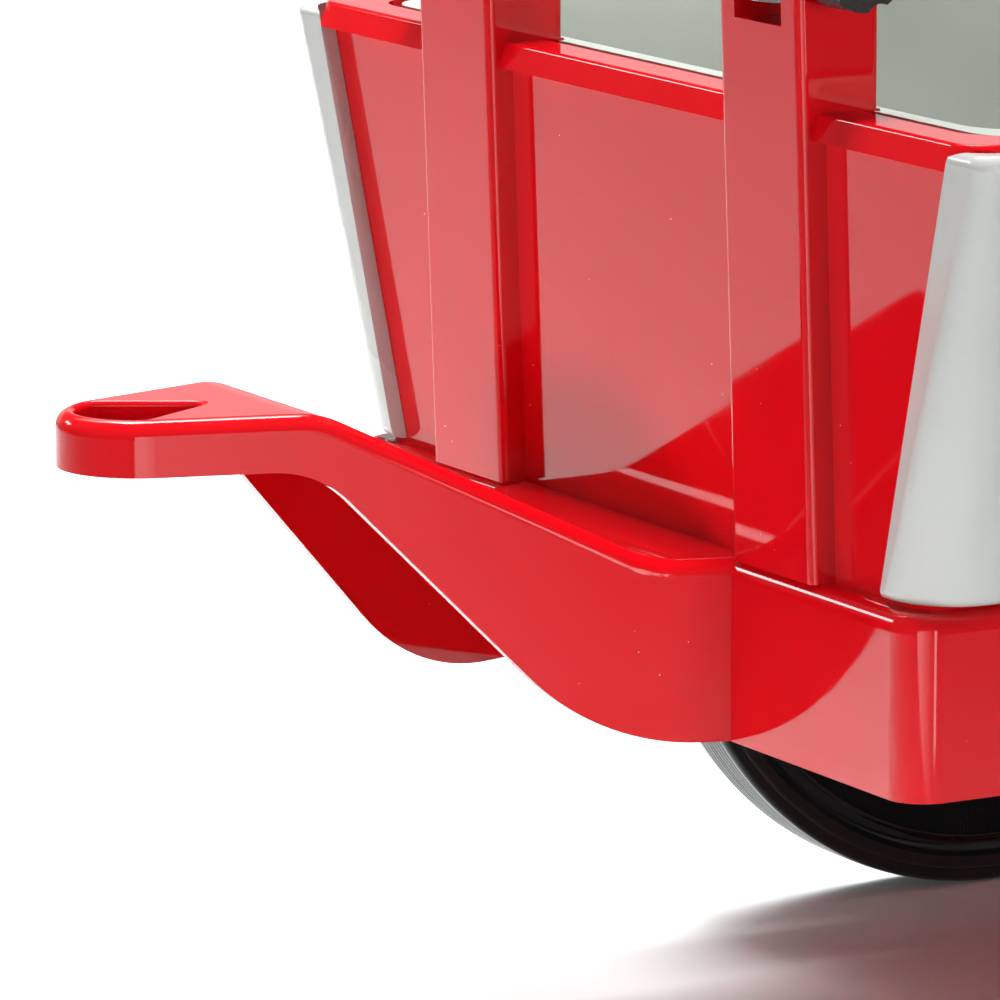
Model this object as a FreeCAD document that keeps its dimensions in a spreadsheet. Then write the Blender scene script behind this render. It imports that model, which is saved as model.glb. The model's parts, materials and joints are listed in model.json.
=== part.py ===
import FreeCAD, Part
import math
import os
import re
import Sketcher
from FreeCAD import Placement, Rotation, Vector

# Wheeled mop bucket trolley with a lever wringer and a string mop, in millimetres.
# X runs from the tow tongue (-X) to the rear (+X), Y across, Z up from the floor.
# The origin is on the floor, under the middle of the trolley's length and width.

DIMENSIONS = {
    # chassis
    "end_wall_x": -149.0, "base_length": 460.0, "base_width": 300.0, "base_height": 48.5,
    "base_bottom": 117.0, "base_wall": 3.5, "base_corner": 10.0, "base_edge": 5.0,
    # tapered body
    "body_height": 122.5, "wall_inset": 7.7, "end_lean": 0.036, "side_lean": 0.264,
    "body_half_width": 144.0, "body_wall": 3.0, "body_corner": 9.0,
    "pilaster_proud": 7.3, "pilaster_edge": 2.5, "pillar_inner": 61.4, "pillar_outer": 101.5,
    "rim_depth": 13.9, "rim_height": 7.0, "rim_proud": 4.2, "rim_half_width": 175.5, "rim_step": 6.7,
    "rim_slope": 2.6, "rim_edge": 1.2,
    "pillar_rise": 59.0, "pillar_edge": 2.5,
    # side panels
    "panel_half_width": 151.5, "panel_inset": 3.0, "panel_foot_corner": 20.0, "panel_top_corner": 6.0,
    "panel_inner_edge": 129.4, "panel_edge_lean": 0.306, "panel_foot": 1.4, "panel_height": 119.6,
    "panel_edge": 3.0, "panel_gap": 0.15,
    # tow tongue
    "tongue_root": 62.1, "tongue_taper": 0.291, "tongue_top": 91.5, "tongue_bend": 104.0,
    "tongue_rise_end": 18.0, "tab_radius": 22.0, "tab_centre": 141.5, "tab_depth": 14.5,
    "tongue_wall": 3.0, "tongue_edge": 4.5, "tongue_slope": 1.06, "tongue_foot": 33.8,
    "foot_bend_radius": 62.0, "tab_bend_radius": 26.0, "root_bend_radius": 30.0, "top_bend_radius": 26.0,
    "eye_radius": 16.0, "eye_centre": 142.3, "eye_apex": 120.0, "eye_slope": 0.556, "eye_corner": 3.0,
    "eye_edge": 1.5,
    # main wheels and axle
    "wheel_x": 89.5, "wheel_radius": 115.5, "wheel_track": 186.5, "wheel_width": 22.0,
    "axle_radius": 6.0, "running_gap": 0.05, "axle_half_length": 207.0, "hub_half_length": 16.0,
    "hub_radius": 20.0, "bush_radius": 9.0, "block_length": 40.0, "block_width": 20.0,
    "block_track": 125.0, "cap_radius": 13.0,
    # casters
    "caster_x": 229.0, "caster_track": 88.0, "caster_trail": 28.0, "caster_radius": 50.0,
    "caster_width": 24.0, "caster_tyre": 9.0, "stem_radius": 6.0, "stem_length": 36.0,
    "fork_gap": 29.0, "fork_plate": 3.0, "boss_radius": 16.0, "caster_axle_radius": 4.0,
    # inner bucket
    "bucket_inset": 20.2, "bucket_half_width": 154.5, "bucket_wall": 2.8, "bucket_floor": 5.5,
    "bucket_corner": 22.0, "flange_height": 2.5, "flange_front": 17.5, "flange_corner": 14.0,
    # push handle
    "handle_x": -144.0, "handle_leg": 81.45, "handle_pivot": 327.0, "handle_top": 905.0,
    "handle_tube": 11.0, "handle_bore": 9.0, "handle_bend": 45.0, "bolt_radius": 4.0,
    "grip_radius": 15.0, "grip_length": 60.0, "knob_radius": 12.0,
    # wringer
    "frame_front": 89.0, "frame_back": 306.0, "frame_half_width": 113.0, "frame_wall": 3.0,
    "frame_bottom": 206.0, "frame_top": 402.0, "shaft_x": 235.0, "shaft_height": 346.0,
    "shaft_radius": 8.0, "tooth_module": 5.0, "tooth_count": 14.0, "gear_inner": 91.0,
    "gear_outer": 103.0, "front_plate_x": 97.0, "rear_plate_x": 217.0, "plate_thickness": 4.0,
    "plate_bottom": 214.0, "plate_top": 378.0, "plate_half_width": 88.0,
    "lever_length": 330.0, "lever_tube": 10.0, "lever_y": 131.5,
    # mop
    "mop_x": 31.0, "pole_radius": 11.75, "pole_top": 1380.0, "head_radius": 46.0,
    "head_bottom": 175.2, "head_top": 322.0, "socket_radius": 17.0,
}

document = FreeCAD.newDocument("MopBucketTrolley")
sheet = document.addObject("Spreadsheet::Sheet", "Dimensions")
for row, (alias, value) in enumerate(DIMENSIONS.items(), start=1):
    sheet.set(f"A{row}", alias)
    sheet.set(f"B{row}", str(value))
    sheet.setAlias(f"B{row}", alias)
document.recompute()

parts = []


def size(alias):
    """A driving dimension, read back from the sheet."""
    return float(sheet.get(alias))


def bound(text):
    """An expression in which each bare name is read from the sheet."""
    return re.sub(r"\b([a-z]+_[a-z_]+)\b", r"Dimensions.\1", text)


def bind(thing, path, text):
    thing.setExpression(path, bound(text))


def finished(thing, label, place=(0, 0, 0), rotation=None):
    """Give a sub-part its label and its placement, whose place may be expressions."""
    thing.Label = label
    thing.Placement = Placement(Vector(0, 0, 0), rotation or Rotation())
    for axis, text in zip("xyz", place):
        if isinstance(text, str):
            bind(thing, f"Placement.Base.{axis}", text)
    parts.append(thing)
    return thing


ALONG_Y = Rotation(Vector(1, 0, 0), -90)


def origin_feature(body, role):
    return next(item for item in body.Origin.OriginFeatures if item.Role == role)


def outline(body, plane, corners):
    """A closed sketch of straight lines whose corners are pairs of expressions."""
    sketch = body.newObject("Sketcher::SketchObject", "Outline")
    sketch.AttachmentSupport = [(origin_feature(body, plane), "")]
    sketch.MapMode = "FlatFace"
    count = len(corners)
    for index in range(count):
        turn = 2 * math.pi * index / count
        after = 2 * math.pi * (index + 1) / count
        start = Vector(50 * math.cos(turn), 50 * math.sin(turn), 0)
        end = Vector(50 * math.cos(after), 50 * math.sin(after), 0)
        sketch.addGeometry(Part.LineSegment(start, end), False)
    for index in range(count):
        sketch.addConstraint(Sketcher.Constraint("Coincident", index, 2, (index + 1) % count, 1))
    for index, pair in enumerate(corners):
        for kind, text in zip(("DistanceX", "DistanceY"), pair):
            number = sketch.addConstraint(Sketcher.Constraint(kind, -1, 1, index, 1, 10.0))
            bind(sketch, f"Constraints[{number}]", text)
    return sketch


def turned(label, corners, place=(0, 0, 0), rotation=None):
    """A body of revolution: corners are (radius, height) expressions."""
    body = document.addObject("PartDesign::Body", label)
    sketch = outline(body, "XZ_Plane", corners)
    turn = body.newObject("PartDesign::Revolution", "Turn")
    turn.Profile = sketch
    turn.ReferenceAxis = (sketch, ["V_Axis"])
    turn.Angle = 360.0
    return finished(body, label, place, rotation)


def shaped(label, shape):
    """A sub-part whose shape is set directly."""
    feature = document.addObject("Part::Feature", label)
    feature.Shape = shape.removeSplitter()
    feature.Label = label
    feature.Placement = Placement()
    parts.append(feature)
    return feature


def box(x_range, y_range, z_range):
    low = Vector(x_range[0], y_range[0], z_range[0])
    return Part.makeBox(x_range[1] - low.x, y_range[1] - low.y, z_range[1] - low.z, low)


def rod(radius, length, start, direction):
    return Part.makeCylinder(radius, length, Vector(*start), Vector(*direction))


def mirrored(shape):
    """The same shape on the other side of the trolley's middle plane."""
    return shape.mirror(Vector(0, 0, 0), Vector(0, 1, 0))


def rounded_rectangle(x_low, x_high, half_width, radius, z):
    """A closed wire: a rectangle with rounded corners, level at height z."""
    corners = [
        (x_high, half_width, 0), (x_low, half_width, 90),
        (x_low, -half_width, 180), (x_high, -half_width, 270),
    ]
    arcs = []
    for x, y, start in corners:
        centre = Vector(x - math.copysign(radius, x - (x_low + x_high) / 2),
                        y - math.copysign(radius, y), z)
        circle = Part.Circle(centre, Vector(0, 0, 1), radius)
        arcs.append(Part.Arc(circle, math.radians(start), math.radians(start + 90)))
    edges = []
    for index, arc in enumerate(arcs):
        following = arcs[(index + 1) % 4]
        edges.append(arc.toShape())
        edges.append(Part.LineSegment(arc.EndPoint, following.StartPoint).toShape())
    return Part.Wire(edges)


def tapered_block(z_low, z_high, inset, half_width, radius, top_radius=None):
    """A block whose ends and sides lean outwards; inset and half_width are at the body's foot."""
    front = size("end_wall_x")
    back = front + size("base_length")
    wires = []
    for z, corner in ((z_low, radius), (z_high, top_radius or radius)):
        rise = z - body_foot
        shift = inset - end_lean * rise
        wires.append(rounded_rectangle(front + shift, back - shift, half_width + side_lean * rise, corner, z))
    return Part.makeLoft(wires, True, True)


base_bottom = size("base_bottom")
body_foot = base_bottom + size("base_height")
rim_top = body_foot + size("body_height")
front_x = size("end_wall_x")
back_x = front_x + size("base_length")
middle_x = (front_x + back_x) / 2
half_base = size("base_width") / 2
end_lean = size("end_lean")
side_lean = size("side_lean")


def edges_where(shape, test):
    return [edge for edge in shape.Edges if test(edge)]


def chassis_block(grow=0.0, z_low=base_bottom, z_high=body_foot, radius=size("base_corner")):
    block = Part.Face(rounded_rectangle(front_x - grow, back_x + grow, half_base + grow, radius, z_low))
    return block.extrude(Vector(0, 0, z_high - z_low))


def on_level(z):
    return lambda edge: abs(edge.BoundBox.ZMin - z) < 0.01 and abs(edge.BoundBox.ZMax - z) < 0.01


def make_chassis():
    wall = size("base_wall")
    outer = chassis_block()
    outer = outer.makeFillet(size("base_edge"), edges_where(outer, on_level(body_foot)))
    inner = chassis_block(-wall, base_bottom - 1, body_foot - wall, size("base_corner") - wall)
    shell = outer.cut(inner)
    deck_under = body_foot - wall
    stem_bore = size("stem_radius") + size("running_gap")
    for side in (-1, 1):
        x = size("caster_x")
        y = side * size("caster_track")
        boss = rod(size("boss_radius"), deck_under - base_bottom - 1, (x, y, base_bottom + 1), (0, 0, 1))
        bore = rod(stem_bore, size("stem_length") + 2, (x, y, base_bottom), (0, 0, 1))
        for angle in (0, 90):
            rib = box((-30, 30), (-1.5, 1.5), (base_bottom + 12, deck_under))
            rib.rotate(Vector(0, 0, 0), Vector(0, 0, 1), angle)
            rib.translate(Vector(x, y, 0))
            boss = boss.fuse(rib)
        shell = shell.fuse(boss).cut(bore)
    for x in (front_x + 110, front_x + 330):
        cross_rib = box((x - 1.5, x + 1.5), (1 - half_base, half_base - 1), (body_foot - 22, deck_under))
        shell = shell.fuse(cross_rib)
    notch_half = size("axle_radius") + 1.5
    wheel_x = size("wheel_x")
    notch = box((wheel_x - notch_half, wheel_x + notch_half), (-half_base - 1, half_base + 1),
                (base_bottom - 1, size("wheel_radius") + notch_half))
    shell = shell.cut(notch)
    return shaped("chassis", shell)


def tongue_plan(inset, tip_radius, root_x):
    """Plan outline of the tongue: straight sides that converge to a round tip."""
    half_root = size("tongue_root") - inset
    taper = size("tongue_taper")
    centre = -size("tab_centre")
    slope_angle = math.atan(taper)
    touch_x = centre - tip_radius * math.sin(slope_angle)
    touch_y = tip_radius * math.cos(slope_angle)
    points = [
        Vector(root_x, half_root, 0), Vector(0, half_root, 0), Vector(touch_x, touch_y, 0),
        Vector(centre - tip_radius, 0, 0),
        Vector(touch_x, -touch_y, 0), Vector(0, -half_root, 0), Vector(root_x, -half_root, 0),
    ]
    edges = [
        Part.makeLine(points[0], points[1]), Part.makeLine(points[1], points[2]),
        Part.Arc(points[2], points[3], points[4]).toShape(),
        Part.makeLine(points[4], points[5]), Part.makeLine(points[5], points[6]),
        Part.makeLine(points[6], points[0]),
    ]
    return Part.Face(Part.Wire(edges))


def bent_line(points, radii):
    """Edges through points, with each inner corner rounded by an arc of its radius."""
    edges = []
    start = points[0]
    for index in range(1, len(points) - 1):
        corner = points[index]
        radius = radii[index - 1]
        back = (points[index - 1] - corner).normalize()
        ahead = (points[index + 1] - corner).normalize()
        half = back.getAngle(ahead) / 2
        reach = radius / math.tan(half)
        enter = corner + back * reach
        leave = corner + ahead * reach
        inward = (back + ahead).normalize()
        middle = corner + inward * (radius / math.sin(half) - radius)
        edges.append(Part.makeLine(start, enter))
        edges.append(Part.Arc(enter, middle, leave).toShape())
        start = leave
    edges.append(Part.makeLine(start, points[-1]))
    return edges


def tongue_profile(drop, lower_drop, x_from, x_to):
    """Side outline of the tongue between its top line and its lower line, heights over the skirt's edge."""
    top = size("tongue_top") - drop
    ledge = size("base_height") - drop
    upper = bent_line(
        [Vector(x_to, 0, ledge), Vector(-size("tongue_rise_end"), 0, ledge),
         Vector(-size("tongue_bend"), 0, top), Vector(x_from, 0, top)],
        [size("root_bend_radius"), size("top_bend_radius")])
    tab_low = size("tongue_top") - size("tab_depth") - lower_drop
    foot = size("tongue_foot")
    knee = foot + tab_low / size("tongue_slope")
    lower = bent_line(
        [Vector(x_from, 0, tab_low), Vector(-knee, 0, tab_low),
         Vector(-foot, 0, -lower_drop), Vector(x_to, 0, -lower_drop)],
        [size("tab_bend_radius"), size("foot_bend_radius")])
    ends = [
        Part.makeLine(upper[-1].Vertexes[-1].Point, lower[0].Vertexes[0].Point),
        Part.makeLine(lower[-1].Vertexes[-1].Point, upper[0].Vertexes[0].Point),
    ]
    wire = Part.Wire(Part.__sortEdges__(upper + lower + ends))
    return Part.Face(wire)


def eye_cutter():
    """The eye's hole: a round end that runs into two straight sides, with rounded corners."""
    radius = size("eye_radius")
    centre = -size("eye_centre")
    apex = -size("eye_apex")
    slope = size("eye_slope")
    square = 1 + slope ** 2
    middle = (centre + slope ** 2 * apex) / square
    reach = math.sqrt(middle ** 2 - (centre ** 2 + slope ** 2 * apex ** 2 - radius ** 2) / square)
    corner_x = middle - reach
    corner_y = slope * (apex - corner_x)
    far = Vector(corner_x, corner_y, 0)
    near = Vector(corner_x, -corner_y, 0)
    tail = Vector(apex, 0, 0)
    edges = [Part.Arc(far, Vector(centre - radius, 0, 0), near).toShape(),
             Part.makeLine(near, tail), Part.makeLine(tail, far)]
    cutter = Part.Face(Part.Wire(edges)).extrude(Vector(0, 0, 140))
    upright = edges_where(cutter, lambda edge: edge.BoundBox.ZLength > 100)
    cutter = cutter.makeFillet(size("eye_corner"), upright)
    cutter.translate(Vector(0, 0, -20))
    return cutter


def make_tongue():
    tip_x = -size("tab_centre") - size("tab_radius") - 5
    wall = size("tongue_wall")
    root = size("base_edge") + 2
    plan = tongue_plan(0, size("tab_radius"), root)
    solid = plan.extrude(Vector(0, 0, 120))
    solid.translate(Vector(0, 0, -10))
    side = tongue_profile(0, 0, tip_x, root).extrude(Vector(0, 200, 0))
    side.translate(Vector(0, -100, 0))
    solid = solid.common(side)
    upper_rim = edges_where(solid, is_tongue_top_edge)
    solid = solid.makeFillet(size("tongue_edge"), upper_rim)
    hollow_plan = tongue_plan(wall, size("tab_radius") - wall, root + 1)
    hollow = hollow_plan.extrude(Vector(0, 0, 140))
    hollow.translate(Vector(0, 0, -20))
    hollow_side = tongue_profile(wall, 30, -size("eye_apex") + 5, root + 1).extrude(Vector(0, 200, 0))
    hollow_side.translate(Vector(0, -100, 0))
    solid = solid.cut(hollow.common(hollow_side))
    solid = solid.cut(eye_cutter())
    solid = solid.makeFillet(size("eye_edge"), edges_where(solid, is_eye_edge))
    solid.translate(Vector(front_x, 0, base_bottom))
    outer = chassis_block()
    outer = outer.makeFillet(size("base_edge"), edges_where(outer, on_level(body_foot)))
    return shaped("tow_tongue", solid.cut(outer))


def is_tongue_top_edge(edge):
    """An edge between the tongue's top faces and its outer side."""
    middle = edge.valueAt((edge.FirstParameter + edge.LastParameter) / 2)
    if middle.x > -0.5 or abs(middle.y) < 1 and middle.x > -size("tab_centre"):
        return False
    run = abs(edge.Vertexes[0].Point.x - edge.Vertexes[-1].Point.x) if len(edge.Vertexes) > 1 else 0
    on_tip = middle.x < -size("tab_centre") and middle.z > size("tongue_top") - 1
    high = middle.z > top_line(middle.x) - 1.0
    return high and (run > 0.5 or on_tip)


def top_line(x):
    """Height of the tongue's top at x, before its bends are rounded."""
    rise_end = -size("tongue_rise_end")
    bend = -size("tongue_bend")
    share = min(max((rise_end - x) / (rise_end - bend), 0), 1)
    return size("base_height") + share * (size("tongue_top") - size("base_height")) - 1.5


def is_eye_edge(edge):
    middle = edge.valueAt((edge.FirstParameter + edge.LastParameter) / 2)
    inside = -size("eye_centre") - size("eye_radius") - 1 < middle.x < -size("eye_apex")
    top = abs(middle.z - size("tongue_top")) < 0.01
    return inside and top and abs(middle.y) < size("eye_radius") + 0.5


def pillar(y_low, y_high, top, depth_in, proud_inset):
    """An upright on the end wall that leans with it, from the body's foot to a flat top."""
    def point(z, inset):
        return Vector(front_x + inset - end_lean * (z - body_foot), y_low, z)
    rear = front_x + depth_in
    corners = [point(body_foot, proud_inset), point(top, proud_inset),
               Vector(rear, y_low, top), Vector(rear, y_low, body_foot)]
    face = Part.Face(Part.makePolygon(corners + corners[:1]))
    return face.extrude(Vector(0, y_high - y_low, 0))


def is_pillar_front_edge(edge):
    """A rising edge on the pillar's leaning front face."""
    return edge.BoundBox.ZLength > 50 and edge.BoundBox.XMax < front_x + 5


def about_middle(shape):
    """The same shape at the other end of the body."""
    return shape.mirror(Vector(middle_x, 0, 0), Vector(1, 0, 0))


def rim_front():
    """X of the rim's front edge where it reaches furthest out."""
    return front_x + size("wall_inset") - size("rim_proud") - end_lean * size("body_height")


def make_body_shell():
    wall = size("body_wall")
    inset = size("wall_inset")
    half = size("body_half_width")
    corner = size("body_corner")
    band_low = rim_top - size("rim_height")
    shell = tapered_block(body_foot, rim_top - 1, inset, half, corner)
    rim_outer_x = rim_front()
    rim_back_x = 2 * middle_x - rim_outer_x
    slope = size("rim_slope")
    rim_foot = rounded_rectangle(rim_outer_x, rim_back_x, size("rim_half_width"), corner + 3, band_low)
    rim_crest = rounded_rectangle(rim_outer_x + slope, rim_back_x - slope, size("rim_half_width") - slope,
                                  corner + 3 - slope, rim_top)
    rim = Part.makeLoft([rim_foot, rim_crest], True, True)
    rim = rim.makeFillet(size("rim_edge"), edges_where(rim, on_level(rim_top)))
    solid = shell.fuse(rim)
    proud = inset - size("pilaster_proud")
    wall_depth = inset + 1
    pillar_rear = rim_outer_x - front_x + size("rim_depth") + size("rim_step")
    pillar_top = rim_top + size("pillar_rise")
    for side in (-1, 1):
        low, high = sorted((side * size("pillar_inner"), side * size("pillar_outer")))
        pilaster = pillar(low, high, band_low + 1, wall_depth, proud)
        pilaster = pilaster.makeFillet(size("pilaster_edge"), edges_where(pilaster, is_pillar_front_edge))
        upright = pillar(low, high, pillar_top, pillar_rear, proud)
        upright = upright.common(box((front_x - 20, front_x + 40), (low, high), (band_low, pillar_top)))
        lean_edges = edges_where(upright, lambda edge: edge.BoundBox.ZMax > rim_top + 5)
        upright = upright.makeFillet(size("pillar_edge"), lean_edges)
        solid = solid.fuse(pilaster).fuse(upright).fuse(about_middle(pilaster))
    rim_depth = size("rim_depth")
    step = size("rim_step")
    opening = rounded_rectangle(rim_outer_x + rim_depth, rim_back_x - rim_depth,
                                size("rim_half_width") - rim_depth, corner + 6, rim_top - 3)
    lower_opening = rounded_rectangle(rim_outer_x + rim_depth + step, rim_back_x - rim_depth - step,
                                      size("rim_half_width") - rim_depth - step, corner + 4, band_low - 30)
    hollow = tapered_block(body_foot - 1, band_low - 1.5, inset + wall, half - wall, corner - 2)
    solid = solid.cut(hollow)
    solid = solid.cut(Part.Face(lower_opening).extrude(Vector(0, 0, 60)))
    upper = Part.Face(opening).extrude(Vector(0, 0, 3.2))
    keep = box((front_x - 20, front_x + pillar_rear), (size("pillar_inner"), size("pillar_outer")),
               (rim_top - 10, rim_top + 10))
    solid = solid.cut(upper.cut(keep).cut(mirrored(keep)))
    leg = size("handle_leg")
    slot_half = size("handle_tube") + 0.6
    pivot = size("handle_pivot")
    for side in (-1, 1):
        low, high = sorted((side * (leg - slot_half), side * (leg + slot_half)))
        slot = box((front_x - 20, front_x + 40), (low, high), (pivot - 17.5, pillar_top + 5))
        hole = rod(size("bolt_radius"), 60, (size("handle_x"), side * leg - 30, pivot), (0, 1, 0))
        solid = solid.cut(slot).cut(hole)
    return shaped("body_shell", solid)


def body_envelope(grow):
    """The body's outer shape, grown by a small gap, for pieces that wrap it."""
    return tapered_block(body_foot - 2, rim_top + 2, size("wall_inset") - grow,
                         size("body_half_width") + grow, size("body_corner"))


def rim_envelope(grow):
    """The rim's outer shape, grown by a small gap and left open upwards."""
    x = rim_front() - grow
    outline_wire = rounded_rectangle(x, 2 * middle_x - x, size("rim_half_width") + grow,
                                     size("body_corner") + 3, rim_top - size("rim_height") - grow)
    return Part.Face(outline_wire).extrude(Vector(0, 0, 40))


def make_side_panels():
    """Panels that wrap the body's side and its corners, and overlap the rim's side."""
    low = body_foot + size("panel_foot")
    high = low + size("panel_height")
    outer = tapered_block(low, high, size("panel_inset"), size("panel_half_width"),
                          size("panel_foot_corner"), size("panel_top_corner"))
    level_edges = edges_where(outer, on_level(high)) + edges_where(outer, on_level(low))
    outer = outer.makeFillet(size("panel_edge"), level_edges)
    panel = outer.cut(body_envelope(size("panel_gap"))).cut(rim_envelope(size("panel_gap")))
    inner = size("panel_inner_edge")
    lean = size("panel_edge_lean")
    rise = rim_top + 10 - body_foot
    drop = 20.0
    x = front_x - 20
    corners = [Vector(x, inner - lean * drop, body_foot - drop),
               Vector(x, inner + lean * rise, body_foot + rise),
               Vector(x, 260, body_foot + rise), Vector(x, 260, body_foot - drop)]
    keep = Part.Face(Part.makePolygon(corners + corners[:1])).extrude(Vector(size("base_length") + 40, 0, 0))
    left = panel.common(keep)
    shaped("side_panel_left", left)
    shaped("side_panel_right", mirrored(left))


def make_bucket():
    inset = size("bucket_inset")
    wall = size("bucket_wall")
    top = rim_top - 0.5
    under = top - size("flange_height")
    top_rise = under - body_foot
    foot_inset = inset + end_lean * top_rise
    foot_half = size("bucket_half_width") - side_lean * top_rise
    floor = body_foot + size("bucket_floor")
    corner = size("bucket_corner")
    outer = tapered_block(floor, top, foot_inset, foot_half, corner)
    outer = outer.makeFillet(6.0, edges_where(outer, on_level(floor)))
    inner = tapered_block(floor + wall, top + 1, foot_inset + wall, foot_half - wall, corner - wall)
    inner = inner.makeFillet(4.0, edges_where(inner, on_level(floor + wall)))
    seat_gap = 0.4
    seat_back = 2 * middle_x - rim_front() - size("rim_depth") - seat_gap
    flange = Part.Face(rounded_rectangle(front_x + size("flange_front"), seat_back,
                                         size("rim_half_width") - size("rim_depth") - seat_gap,
                                         size("flange_corner"), under))
    flange = flange.extrude(Vector(0, 0, size("flange_height")))
    room = box((front_x - 20, front_x + inset - 0.5), (size("pillar_inner") - 1, size("pillar_outer") + 1),
               (under - 5, rim_top + 5))
    bucket = outer.fuse(flange.cut(room).cut(mirrored(room))).cut(inner)
    shaped("bucket", bucket)


def gear_shape(teeth, module, width):
    """A spur gear about Y with involute flanks and shortened teeth, one tooth pointing down."""
    pitch = teeth * module / 2
    pressure = math.radians(20)
    base = pitch * math.cos(pressure)
    tip = pitch + 0.75 * module
    root = pitch - 1.0 * module
    gap = 0.12
    half_tooth = (math.pi * module / 4 - gap) / pitch
    involute_at_pitch = math.tan(pressure) - pressure

    def flank(radius):
        angle = math.acos(min(base / radius, 1.0))
        return half_tooth + involute_at_pitch - (math.tan(angle) - angle)

    points = []
    steps = 6
    for tooth in range(int(teeth)):
        centre = 2 * math.pi * tooth / teeth
        radii = [max(base, root) + (tip - max(base, root)) * step / steps for step in range(steps + 1)]
        side = [(root, flank(base))] + [(radius, flank(radius)) for radius in radii]
        for radius, offset in side:
            points.append((radius, centre - offset))
        for radius, offset in reversed(side):
            points.append((radius, centre + offset))
    corners = [Vector(-radius * math.sin(angle), 0, -radius * math.cos(angle)) for radius, angle in points]
    face = Part.Face(Part.makePolygon(corners + corners[:1]))
    return face.extrude(Vector(0, width, 0))


def rack_shape(x_low, x_high, pitch_height, module, teeth_up, centre_x, width, back):
    """A bar with straight-sided teeth; a gap between teeth is centred on centre_x."""
    step = math.pi * module
    sign = 1 if teeth_up else -1
    tip = pitch_height + sign * 0.75 * module
    root = pitch_height - sign * 1.0 * module
    slant = math.tan(math.radians(20))
    gap = 0.12
    half = step / 4 - gap
    count = int(math.ceil((x_high - x_low) / step)) + 2
    first = centre_x + step / 2 - step * int(math.ceil((centre_x - x_low) / step) + 1)
    bar_back = root - sign * back
    bar = box((x_low, x_high), (0, width), sorted((bar_back, root)))
    for index in range(count):
        middle = first + index * step
        wide = half + slant * abs(root - pitch_height)
        narrow = half - slant * abs(tip - pitch_height)
        if middle - wide < x_low or middle + wide > x_high:
            continue
        corners = [Vector(middle - wide, 0, root), Vector(middle - narrow, 0, tip),
                   Vector(middle + narrow, 0, tip), Vector(middle + wide, 0, root)]
        tooth = Part.Face(Part.makePolygon(corners + corners[:1])).extrude(Vector(0, width, 0))
        bar = bar.fuse(tooth)
    return bar


def hole_grid(plate, holes, radius, direction):
    """Cut a list of round holes, given by their starting points, through a plate."""
    cutters = [rod(radius, 30, start, direction) for start in holes]
    return plate.cut(Part.makeCompound(cutters))


def make_press_plates():
    thickness = size("plate_thickness")
    half = size("plate_half_width")
    low = size("plate_bottom")
    high = size("plate_top")
    holes = []
    for row in range(7):
        for column in range(8):
            y = -half + 15 + column * 20.8 + (row % 2) * 9
            if abs(y) < half - 8:
                holes.append((0, y, low + 14 + row * 19))
    gear_in = size("gear_inner")
    gear_out = size("gear_outer")
    module = size("tooth_module")
    pitch = module * size("tooth_count") / 2
    shaft_z = size("shaft_height")
    upper_pitch = shaft_z + pitch
    lower_pitch = shaft_z - pitch

    front_x_plate = size("front_plate_x")
    plate = box((front_x_plate, front_x_plate + thickness), (-half, half), (low, upper_pitch + 12))
    arm = box((front_x_plate, front_x_plate + thickness), (-gear_out, gear_out),
              (upper_pitch + 5, upper_pitch + 17))
    rib = box((front_x_plate - 4, front_x_plate), (-half, half), (high - 20, high - 14))
    front = plate.fuse(arm).fuse(rib)
    front = hole_grid(front, [(front_x_plate - 10, y, z) for _, y, z in holes], 4.5, (1, 0, 0))
    shaped("front_press_plate", front)

    rear_x_plate = size("rear_plate_x")
    plate = box((rear_x_plate, rear_x_plate + thickness), (-half, half), (low, high - 12))
    arm = box((rear_x_plate, rear_x_plate + thickness), (-gear_out, gear_out),
              (lower_pitch - 17, lower_pitch - 5))
    rear = hole_grid(plate.fuse(arm), [(rear_x_plate - 10, y, z) for _, y, z in holes if z < high - 24],
                     4.5, (1, 0, 0))
    shaped("rear_press_plate", rear)

    shaft_x = size("shaft_x")
    upper = rack_shape(front_x_plate + thickness, shaft_x + 16, upper_pitch, module, False, shaft_x,
                       gear_out - gear_in, 12)
    lower = rack_shape(rear_x_plate + thickness, size("frame_back") - 4, lower_pitch, module, True, shaft_x,
                       gear_out - gear_in, 12)
    for name, rack in (("front_rack", upper), ("rear_rack", lower)):
        right = rack.copy()
        right.translate(Vector(0, -gear_out, 0))
        shaped(name + "_right", right)
        shaped(name + "_left", mirrored(right))


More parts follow.
